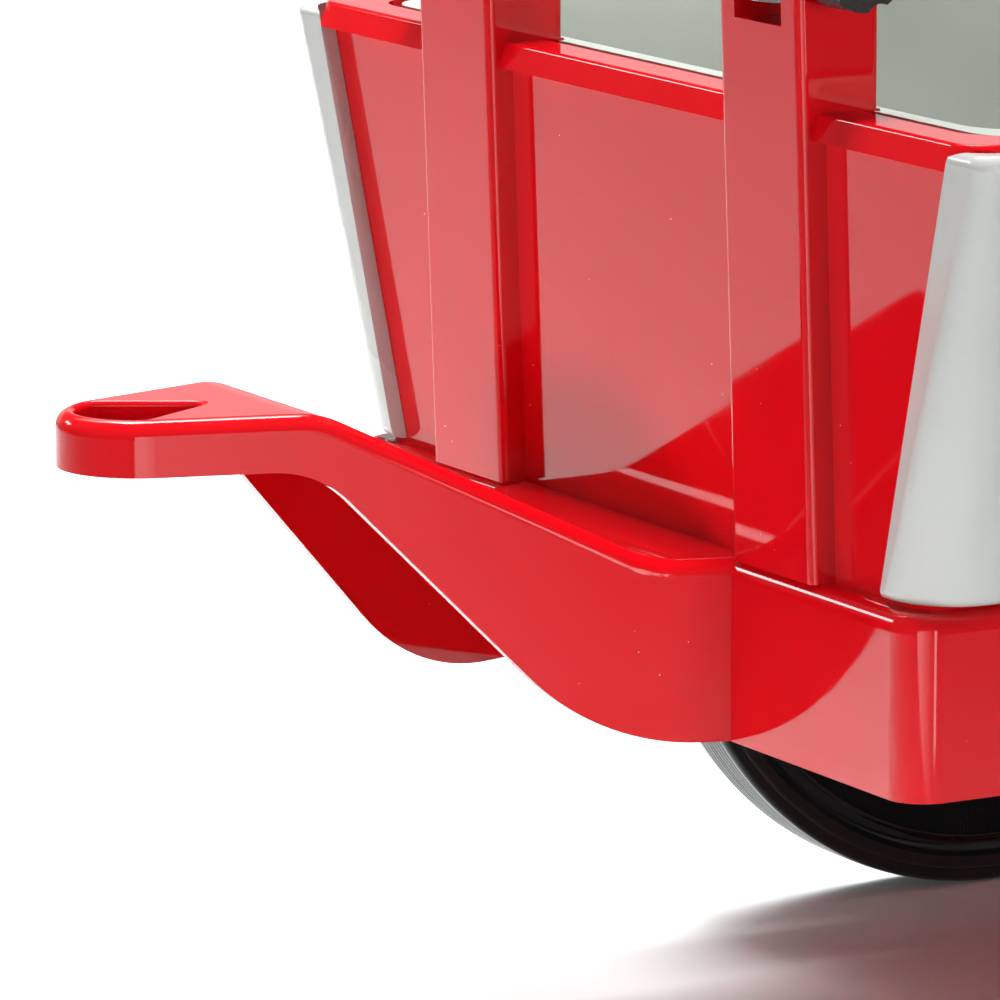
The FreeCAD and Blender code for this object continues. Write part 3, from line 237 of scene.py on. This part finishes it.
def rubber(name, colour, dusted):
    """Matte rubber with dust on its grain."""
    material, tree, shader = new_material(name)
    vector = coordinates(tree)
    dust = noise(tree, vector, 60.0, 6.0)
    tree.links.new(ramp(tree, dust, [(0.42, colour), (0.75, dusted)]), shader.inputs["Base Color"])
    tree.links.new(spread(tree, dust, 0.5, 0.78), shader.inputs["Roughness"])
    bump(tree, shader, noise(tree, vector, 1100.0, 3.0), 0.3, 0.0004)
    return material


def cotton(name, colour, shade):
    """Cotton yarn: fibres, a little uneven colour and a soft sheen."""
    material, tree, shader = new_material(name)
    vector = coordinates(tree)
    fibre = noise(tree, coordinates(tree, (1500, 1500, 500), (0.2, 0.5, 0.0)), 1.0, 4.0)
    uneven = noise(tree, vector, 55.0, 5.0)
    mix = math_node(tree, "ADD", math_node(tree, "MULTIPLY", fibre, 0.45),
                    math_node(tree, "MULTIPLY", uneven, 0.55))
    tree.links.new(ramp(tree, mix, [(0.32, shade), (0.62, colour)]), shader.inputs["Base Color"])
    tree.links.new(spread(tree, fibre, 0.82, 0.98), shader.inputs["Roughness"])
    shader.inputs["Sheen Weight"].default_value = 0.3
    bump(tree, shader, fibre, 0.6, 0.0006)
    return material


RED_DUST = (0.75, 0.55, 0.55)
GREY_DUST = (0.2, 0.2, 0.2)
materials = {
    "red_plastic": polished_plastic("red_plastic", (0.58, 0.0024, 0.006), (0.62, 0.003, 0.008),
                                    RED_DUST, 0.05, 0.10),
    "silver_plastic": metallic_plastic("silver_plastic", (0.47, 0.475, 0.455), (0.52, 0.52, 0.50)),
    "grey_plastic": satin_plastic("grey_plastic", (0.36, 0.40, 0.36), (0.41, 0.45, 0.405), 0.38, 1200.0),
    "black_gloss": polished_plastic("black_gloss", (0.006, 0.006, 0.006), (0.010, 0.010, 0.010),
                                    GREY_DUST, 0.07, 0.06),
    "black_plastic": textured_plastic("black_plastic", (0.012, 0.012, 0.013), (0.022, 0.022, 0.023),
                                      0.42, 1400.0),
    "wringer_plastic": satin_plastic("wringer_plastic", (0.30, 0.315, 0.31), (0.36, 0.37, 0.365),
                                     0.34, 1300.0),
    "plate_plastic": satin_plastic("plate_plastic", (0.46, 0.006, 0.010), (0.54, 0.009, 0.014),
                                   0.22, 1300.0),
    "nylon": satin_plastic("nylon", (0.68, 0.66, 0.59), (0.76, 0.74, 0.67), 0.35, 900.0),
    "zinc_steel": brushed_metal("zinc_steel", (0.60, 0.61, 0.63), (0.48, 0.49, 0.52), 0.28, "y"),
    "aluminium_tube": brushed_metal("aluminium_tube", (0.74, 0.75, 0.77), (0.64, 0.65, 0.67), 0.26, "z"),
    "grip_rubber": rubber("grip_rubber", (0.012, 0.012, 0.013), (0.035, 0.035, 0.036)),
    "tyre_rubber": rubber("tyre_rubber", (0.05, 0.05, 0.052), (0.10, 0.10, 0.10)),
    "mop_yarn": cotton("mop_yarn", (0.82, 0.80, 0.73), (0.55, 0.52, 0.44)),
}

for node, thing in frame["nodes"].items():
    thing.data.materials.clear()
    thing.data.materials.append(materials[slot_of[node]])


# ---------------------------------------------------------------- pieces

def body_of(node):
    """The body that a CAD node belongs to."""
    return next(body for body, nodes in record["behaviour"]["bodies"].items() if node in nodes)


def settle(name, mesh, node):
    """Put a mesh in the scene as the piece that stands for a CAD node."""
    piece = bpy.data.objects.new(name, mesh)
    collection.objects.link(piece)
    mesh.materials.append(materials[slot_of[node]])
    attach(piece, body_of(node))
    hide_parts(node)


def finish_mesh(name, builder, sharp_angle=35):
    """Smooth faces, with edges over an angle kept sharp."""
    bmesh.ops.recalc_face_normals(builder, faces=builder.faces)
    for face in builder.faces:
        face.smooth = True
    for edge in builder.edges:
        if len(edge.link_faces) == 2 and edge.calc_face_angle(0.0) > math.radians(sharp_angle):
            edge.smooth = False
    mesh = bpy.data.meshes.new(name)
    builder.to_mesh(mesh)
    builder.free()
    return mesh


def lathe(name, profile, centre, axis, segments=128):
    """Turn a closed profile of (radius, offset) pairs about an axis, Y or Z, through centre."""
    builder = bmesh.new()
    rings = []
    for step in range(segments):
        angle = 2 * math.pi * step / segments
        across, up = math.cos(angle), math.sin(angle)
        ring = []
        for radius, offset in profile:
            if axis == "Y":
                place = Vector((radius * across, offset, radius * up))
            else:
                place = Vector((radius * across, radius * up, offset))
            ring.append(builder.verts.new(place + centre))
        rings.append(ring)
    count = len(profile)
    for step in range(segments):
        here, after = rings[step], rings[(step + 1) % segments]
        for index in range(count):
            following = (index + 1) % count
            builder.faces.new((here[index], here[following], after[following], after[index]))
    return finish_mesh(name, builder)


def middle_of(node):
    """The middle and the extent of a CAD node's box."""
    low, high = (Vector(corner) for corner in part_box(node))
    return (low + high) / 2, high - low


def arc(centre_radius, centre_offset, radius, start, end, steps=6):
    """Profile points along an arc, angles in degrees from the radial direction towards +offset."""
    points = []
    for step in range(steps + 1):
        angle = math.radians(start + (end - start) * step / steps)
        points.append((centre_radius + radius * math.cos(angle), centre_offset + radius * math.sin(angle)))
    return points


def mirrored_profile(half):
    """A closed profile from its positive half, listed from the bore outwards to the rim."""
    return half + [(radius, -offset) for radius, offset in reversed(half)]


WHEEL_BORE = 0.009
HUB_RADIUS = 0.0200
HUB_EDGE = 0.0015
TREAD_HALF = 0.011
TREAD_RIDGE = 0.0003
TREAD_RIDGES = 3.5


def make_wheel(side):
    """A main wheel: a dished glossy disc with a raised rim band and a ridged tread."""
    node = f"wheel_{side}"
    centre, extent = middle_of(node)
    radius = extent.x / 2
    hub_half = extent.y / 2
    half = [(WHEEL_BORE, hub_half)]
    half += arc(HUB_RADIUS - HUB_EDGE, hub_half - HUB_EDGE, HUB_EDGE, 90, 0, 4)
    half += [(0.0205, hub_half - 0.006), (0.0225, 0.0082), (0.0260, 0.0070)]
    half += [(0.040, 0.0064), (0.055, 0.0063), (radius - 0.045, 0.0066), (radius - 0.034, 0.0073)]
    half += [(radius - 0.026, 0.0082), (radius - 0.020, 0.0092)]
    half += [(radius - 0.0150, 0.0099), (radius - 0.0142, 0.0094), (radius - 0.0134, 0.0099)]
    half += arc(radius - 0.0060, TREAD_HALF - 0.0022, 0.0022, 90, 40, 4)
    half += arc(radius - 0.0030, TREAD_HALF - 0.0030, 0.0028, 60, 5, 5)
    steps = 28
    start = TREAD_HALF - 0.0036
    for step in range(steps + 1):
        offset = start * (1 - step / steps)
        wave = 0.5 - 0.5 * math.cos(2 * math.pi * TREAD_RIDGES * offset / start)
        half.append((radius - TREAD_RIDGE * wave, offset))
    settle(f"{node}_turned", lathe(node, mirrored_profile(half), centre, "Y", 192), node)


TYRE_DEPTH = 0.009
TYRE_GROOVES = (0.0062, 0.0030)


def make_tyre(side):
    """A caster's tyre with two fine grooves on each side of its middle."""
    node = f"caster_tyre_{side}"
    centre, extent = middle_of(node)
    radius = extent.x / 2
    half_width = extent.y / 2
    inner = radius - TYRE_DEPTH
    half = [(inner, half_width - 0.001), (inner + 0.002, half_width)]
    half += [(radius - 0.0055, half_width)]
    half += arc(radius - 0.0045, half_width - 0.0045, 0.0043, 85, 15, 6)
    for offset in TYRE_GROOVES:
        half += [(radius, offset + 0.0006), (radius - 0.0009, offset + 0.0003)]
        half += [(radius - 0.0009, offset - 0.0003), (radius, offset - 0.0006)]
    half.append((radius, 0.0))
    settle(f"{node}_grooved", lathe(node, mirrored_profile(half), centre, "Y", 128), node)


def ribbed(start, end, base, height, pitch, steps=8):
    """Rounded ribs along a stretch: (radius, offset) pairs from start to end."""
    count = max(1, round(abs(end - start) / pitch))
    points = []
    for index in range(count * steps + 1):
        share = index / (count * steps)
        lift = abs(math.sin(math.pi * count * share)) ** 0.6
        points.append((base + height * lift, start + (end - start) * share))
    return points


# Bores of the grips, a little over the tubes that they are pushed onto
HANDLE_GRIP_BORE = 0.01105
LEVER_GRIP_BORE = 0.01005
MOP_GRIP_BORE = 0.01180
# Radius at the middle of a closed end, left open for the lathe
END_PINHOLE = 0.0004


def make_handle_grip():
    """A ribbed sleeve with rounded ends."""
    node = "handle_grip"
    centre, extent = middle_of(node)
    radius = extent.x / 2
    half = extent.y / 2
    profile = [(HANDLE_GRIP_BORE, -half), (radius - 0.0018, -half)]
    profile += arc(radius - 0.0018, -half + 0.0018, 0.0018, -90, 0, 4)
    profile += ribbed(-half + 0.006, half - 0.006, radius - 0.0012, 0.0012, 0.006)
    profile += arc(radius - 0.0018, half - 0.0018, 0.0018, 0, 90, 4)
    profile += [(HANDLE_GRIP_BORE, half)]
    settle("handle_grip_ribbed", lathe(node, profile, centre, "Y", 96), node)


def make_lever_grip():
    """A grip with long finger swells, a guard ring below and a domed closed top."""
    node = "lever_grip"
    centre, extent = middle_of(node)
    radius = extent.x / 2
    low = -extent.z / 2
    high = extent.z / 2
    profile = [(LEVER_GRIP_BORE, low), (radius - 0.001, low), (radius, low + 0.001), (radius, low + 0.006)]
    profile += [(radius - 0.001, low + 0.0075)]
    profile += ribbed(low + 0.012, high - 0.034, radius - 0.0024, 0.0016, 0.022, 12)
    profile += arc(0.0020, high - 0.0115, 0.0115, 10, 88, 10)
    profile += [(END_PINHOLE, high), (END_PINHOLE, high - 0.009), (LEVER_GRIP_BORE, high - 0.009)]
    settle("lever_grip_shaped", lathe(node, profile, centre, "Z", 96), node)


def make_mop_grip():
    """A finely ribbed grip with a domed closed top."""
    node = "mop_grip"
    centre, extent = middle_of(node)
    radius = extent.x / 2
    low = -extent.z / 2
    high = extent.z / 2
    profile = [(MOP_GRIP_BORE, low), (radius - 0.001, low), (radius - 0.0004, low + 0.001)]
    profile += ribbed(low + 0.008, high - 0.030, radius - 0.0008, 0.0008, 0.005, 6)
    profile += arc(radius - 0.0060, high - 0.0060, 0.0058, 5, 88, 8)
    profile += [(END_PINHOLE, high), (END_PINHOLE, high - 0.006), (MOP_GRIP_BORE, high - 0.006)]
    settle("mop_grip_ribbed", lathe(node, profile, centre, "Z", 96), node)


YARN_RADIUS = 0.0023
YARN_TWIST = 520.0
STRAND_STEPS = 46
# Layers of strands, each with its count, its depth under the outside and the height of its top
STRAND_LAYERS = [
    (58, 0.0, 0.1445),
    (48, 0.0050, 0.138),
    (38, 0.0100, 0.128),
    (24, 0.0165, 0.118),
    (12, 0.026, 0.112),
]


def tube(builder, path, radii, turn_rate, sides=9):
    """A three-ply strand along a path: its section turns as it goes."""
    previous = None
    frame_side = Vector((1, 0, 0))
    length = 0.0
    for index, point in enumerate(path):
        ahead = path[min(index + 1, len(path) - 1)] - path[max(index - 1, 0)]
        ahead.normalize()
        frame_side = (frame_side - ahead * frame_side.dot(ahead)).normalized()
        other = ahead.cross(frame_side)
        if index:
            length += (point - path[index - 1]).length
        ring = []
        for side in range(sides):
            angle = 2 * math.pi * side / sides
            ply = 1 + 0.16 * math.cos(3 * (angle - turn_rate * length))
            offset = (frame_side * math.cos(angle) + other * math.sin(angle)) * radii[index] * ply
            ring.append(builder.verts.new(point + offset))
        if previous:
            for side in range(sides):
                after = (side + 1) % sides
                builder.faces.new((previous[side], previous[after], ring[after], ring[side]))
        else:
            builder.faces.new(list(reversed(ring)))
        previous = ring
    builder.faces.new(previous)


def envelope(height):
    """Radius of the mop head at a height above its lowest point, in metres."""
    stations = [(0.0, 0.0445), (0.012, 0.0460), (0.060, 0.0430), (0.127, 0.0300), (0.147, 0.0200)]
    for (low, low_radius), (high, high_radius) in zip(stations, stations[1:]):
        if height <= high:
            share = max(0.0, (height - low) / (high - low))
            return low_radius + (high_radius - low_radius) * share
    return stations[-1][1]


def make_mop_head():
    """Twisted cotton strands in layers, gathered under the clamp."""
    node = "mop_head"
    low, high = (Vector(corner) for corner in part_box(node))
    axis = (low + high) / 2
    draw = random.Random(7)
    builder = bmesh.new()
    for count, depth, top in STRAND_LAYERS:
        for index in range(count):
            heading = 2 * math.pi * (index + draw.uniform(-0.25, 0.25)) / count
            sway = draw.uniform(-0.22, 0.22)
            wobble = draw.uniform(0.0006, 0.0022)
            phase = draw.uniform(0, 2 * math.pi)
            waves = draw.uniform(1.2, 2.6)
            foot = draw.uniform(0.003, 0.014)
            curl = draw.uniform(-0.30, 0.30)
            path = []
            radii = []
            for step in range(STRAND_STEPS + 1):
                share = step / STRAND_STEPS
                height = top + (foot - top) * share
                limit = envelope(height) - YARN_RADIUS * 1.2
                tuck = limit - depth * min(1.0, 0.25 + share * 1.6)
                reach = max(0.0035, tuck - wobble * (1 + math.sin(phase + waves * 2 * math.pi * share)))
                if depth < 0.008 and height > 0.125:
                    reach = max(reach, 0.0182)
                angle = heading + sway * share ** 2 + 0.05 * math.sin(phase + waves * 5 * share)
                angle += curl * max(0.0, share - 0.85) / 0.15
                path.append(Vector((axis.x + reach * math.cos(angle), axis.y + reach * math.sin(angle),
                                    low.z + height)))
                radii.append(YARN_RADIUS * (0.5 + 0.5 * min(1.0, share * 3.2)))
            tube(builder, path, radii, YARN_TWIST)
    settle("mop_head_strands", finish_mesh(node, builder, 60), node)


for side in ("left", "right"):
    make_wheel(side)
    make_tyre(side)
make_handle_grip()
make_lever_grip()
make_mop_grip()
make_mop_head()


# ---------------------------------------------------------------- stage, light and camera

FLOOR_HALF = 30.0
CAMERA_AZIMUTH = math.radians(29.18)
CAMERA_TILT = math.radians(10.82)


def area_light(name, place, target, width, height, energy, part="both", spread_angle=180, fade=False):
    """A soft rectangular lamp.

    A "glint" is seen only in reflections, a "wash" only lights, and "both" does both. With fade,
    the lamp is brighter towards one end of its width.
    """
    light = bpy.data.lights.new(name, "AREA")
    light.shape = "RECTANGLE"
    light.size = width
    light.size_y = height
    light.energy = energy
    light.spread = math.radians(spread_angle)
    if fade:
        light.use_nodes = True
        tree = light.node_tree
        split = add(tree, "ShaderNodeSeparateXYZ")
        tree.links.new(add(tree, "ShaderNodeNewGeometry").outputs["Parametric"], split.inputs["Vector"])
        across = spread(tree, split.outputs["X"], 1.6, 0.1, 0.3, 0.95)
        tree.links.new(across, tree.nodes["Emission"].inputs["Strength"])
    lamp = bpy.data.objects.new(name, light)
    lamp.location = place
    lamp.rotation_euler = (Vector(target) - Vector(place)).to_track_quat("-Z", "Y").to_euler()
    lamp.visible_camera = False
    lamp.visible_diffuse = part != "glint"
    lamp.visible_glossy = part != "wash"
    collection.objects.link(lamp)


def make_floor():
    """A plain pale floor."""
    mesh = bpy.data.meshes.new("floor")
    builder = bmesh.new()
    bmesh.ops.create_grid(builder, x_segments=1, y_segments=1, size=FLOOR_HALF)
    builder.to_mesh(mesh)
    builder.free()
    floor = bpy.data.objects.new("floor", mesh)
    collection.objects.link(floor)
    material, tree, shader = new_material("floor")
    tint = ramp(tree, noise(tree, coordinates(tree), 3.0),
                [(0.3, (0.86, 0.90, 0.90)), (0.7, (0.88, 0.92, 0.92))])
    tree.links.new(tint, shader.inputs["Base Color"])
    shader.inputs["Roughness"].default_value = 0.8
    shader.inputs["Specular IOR Level"].default_value = 0.1
    mesh.materials.append(material)


def make_world():
    """A dim studio with a pale band behind the trolley, low over the floor."""
    world = bpy.data.worlds.new("studio")
    bpy.context.scene.world = world
    world.use_nodes = True
    tree = world.node_tree
    sky = tree.nodes["Background"]
    place = add(tree, "ShaderNodeTexCoord")
    split = add(tree, "ShaderNodeSeparateXYZ")
    tree.links.new(place.outputs["Generated"], split.inputs["Vector"])
    across = math_node(tree, "MULTIPLY", split.outputs["X"], math.sin(CAMERA_AZIMUTH))
    along = math_node(tree, "MULTIPLY", split.outputs["Y"], math.cos(CAMERA_AZIMUTH))
    heading = math_node(tree, "ADD", across, along)
    behind = spread(tree, heading, 0.0, 1.0, 0.65, 0.90)
    low = spread(tree, split.outputs["Z"], 1.0, 0.0, 0.21, 0.27)
    glow = math_node(tree, "MULTIPLY", behind, low)
    shades = ramp(tree, glow, [(0.0, (0.13, 0.13, 0.13)), (1.0, (0.62, 0.62, 0.62))])
    tree.links.new(shades, sky.inputs["Color"])
    sky.inputs["Strength"].default_value = 1.0


def make_camera():
    """The camera looks at the tongue's end from one side, a little above the rim."""
    camera_data = bpy.data.cameras.new("camera")
    camera_data.sensor_width = 36.0
    camera_data.lens = 267.6
    camera_data.clip_end = 100.0
    camera = bpy.data.objects.new("camera", camera_data)
    level = math.cos(CAMERA_TILT)
    ahead = Vector((math.sin(CAMERA_AZIMUTH) * level, math.cos(CAMERA_AZIMUTH) * level,
                    -math.sin(CAMERA_TILT)))
    camera.location = (-1.1315, -1.6973, 0.5459)
    camera.rotation_euler = ahead.to_track_quat("-Z", "Y").to_euler()
    collection.objects.link(camera)
    bpy.context.scene.camera = camera


make_floor()
make_world()
make_camera()
area_light("top_soft_box", (0.25, 1.2, 2.1), (0.25, 1.2, 0.0), 0.9, 0.9, 24.0, spread_angle=90)
area_light("background_light", (0.7, 2.7, 2.4), (0.7, 2.6, 0.0), 2.6, 2.6, 50.0, spread_angle=110)
area_light("overhead_fill", (-0.1, 0.1, 2.3), (-0.1, 0.1, 0.0), 0.6, 0.6, 5.5, part="wash", spread_angle=40)
area_light("front_fill", (-4.0, -1.2, 0.45), (-0.1, 0.0, 0.25), 1.2, 0.7, 7.5, part="wash", spread_angle=60)
area_light("side_fill", (0.1, -4.0, 0.45), (0.0, -0.1, 0.25), 1.2, 0.7, 7.5, part="wash", spread_angle=60)
area_light("side_glint", (-0.42, -0.60, 0.17), (-0.42, 0.0, 0.17), 0.52, 0.32, 0.9, part="glint", fade=True)
area_light("corner_glint", (-0.10, -0.72, 0.17), (-0.14, -0.15, 0.17), 0.07, 0.34, 0.35, part="glint")
area_light("edge_glint", (-0.95, 1.55, 0.95), (-0.15, 0.0, 0.18), 0.45, 0.22, 3.0, part="glint")

bpy.context.scene.view_settings.view_transform = "Standard"
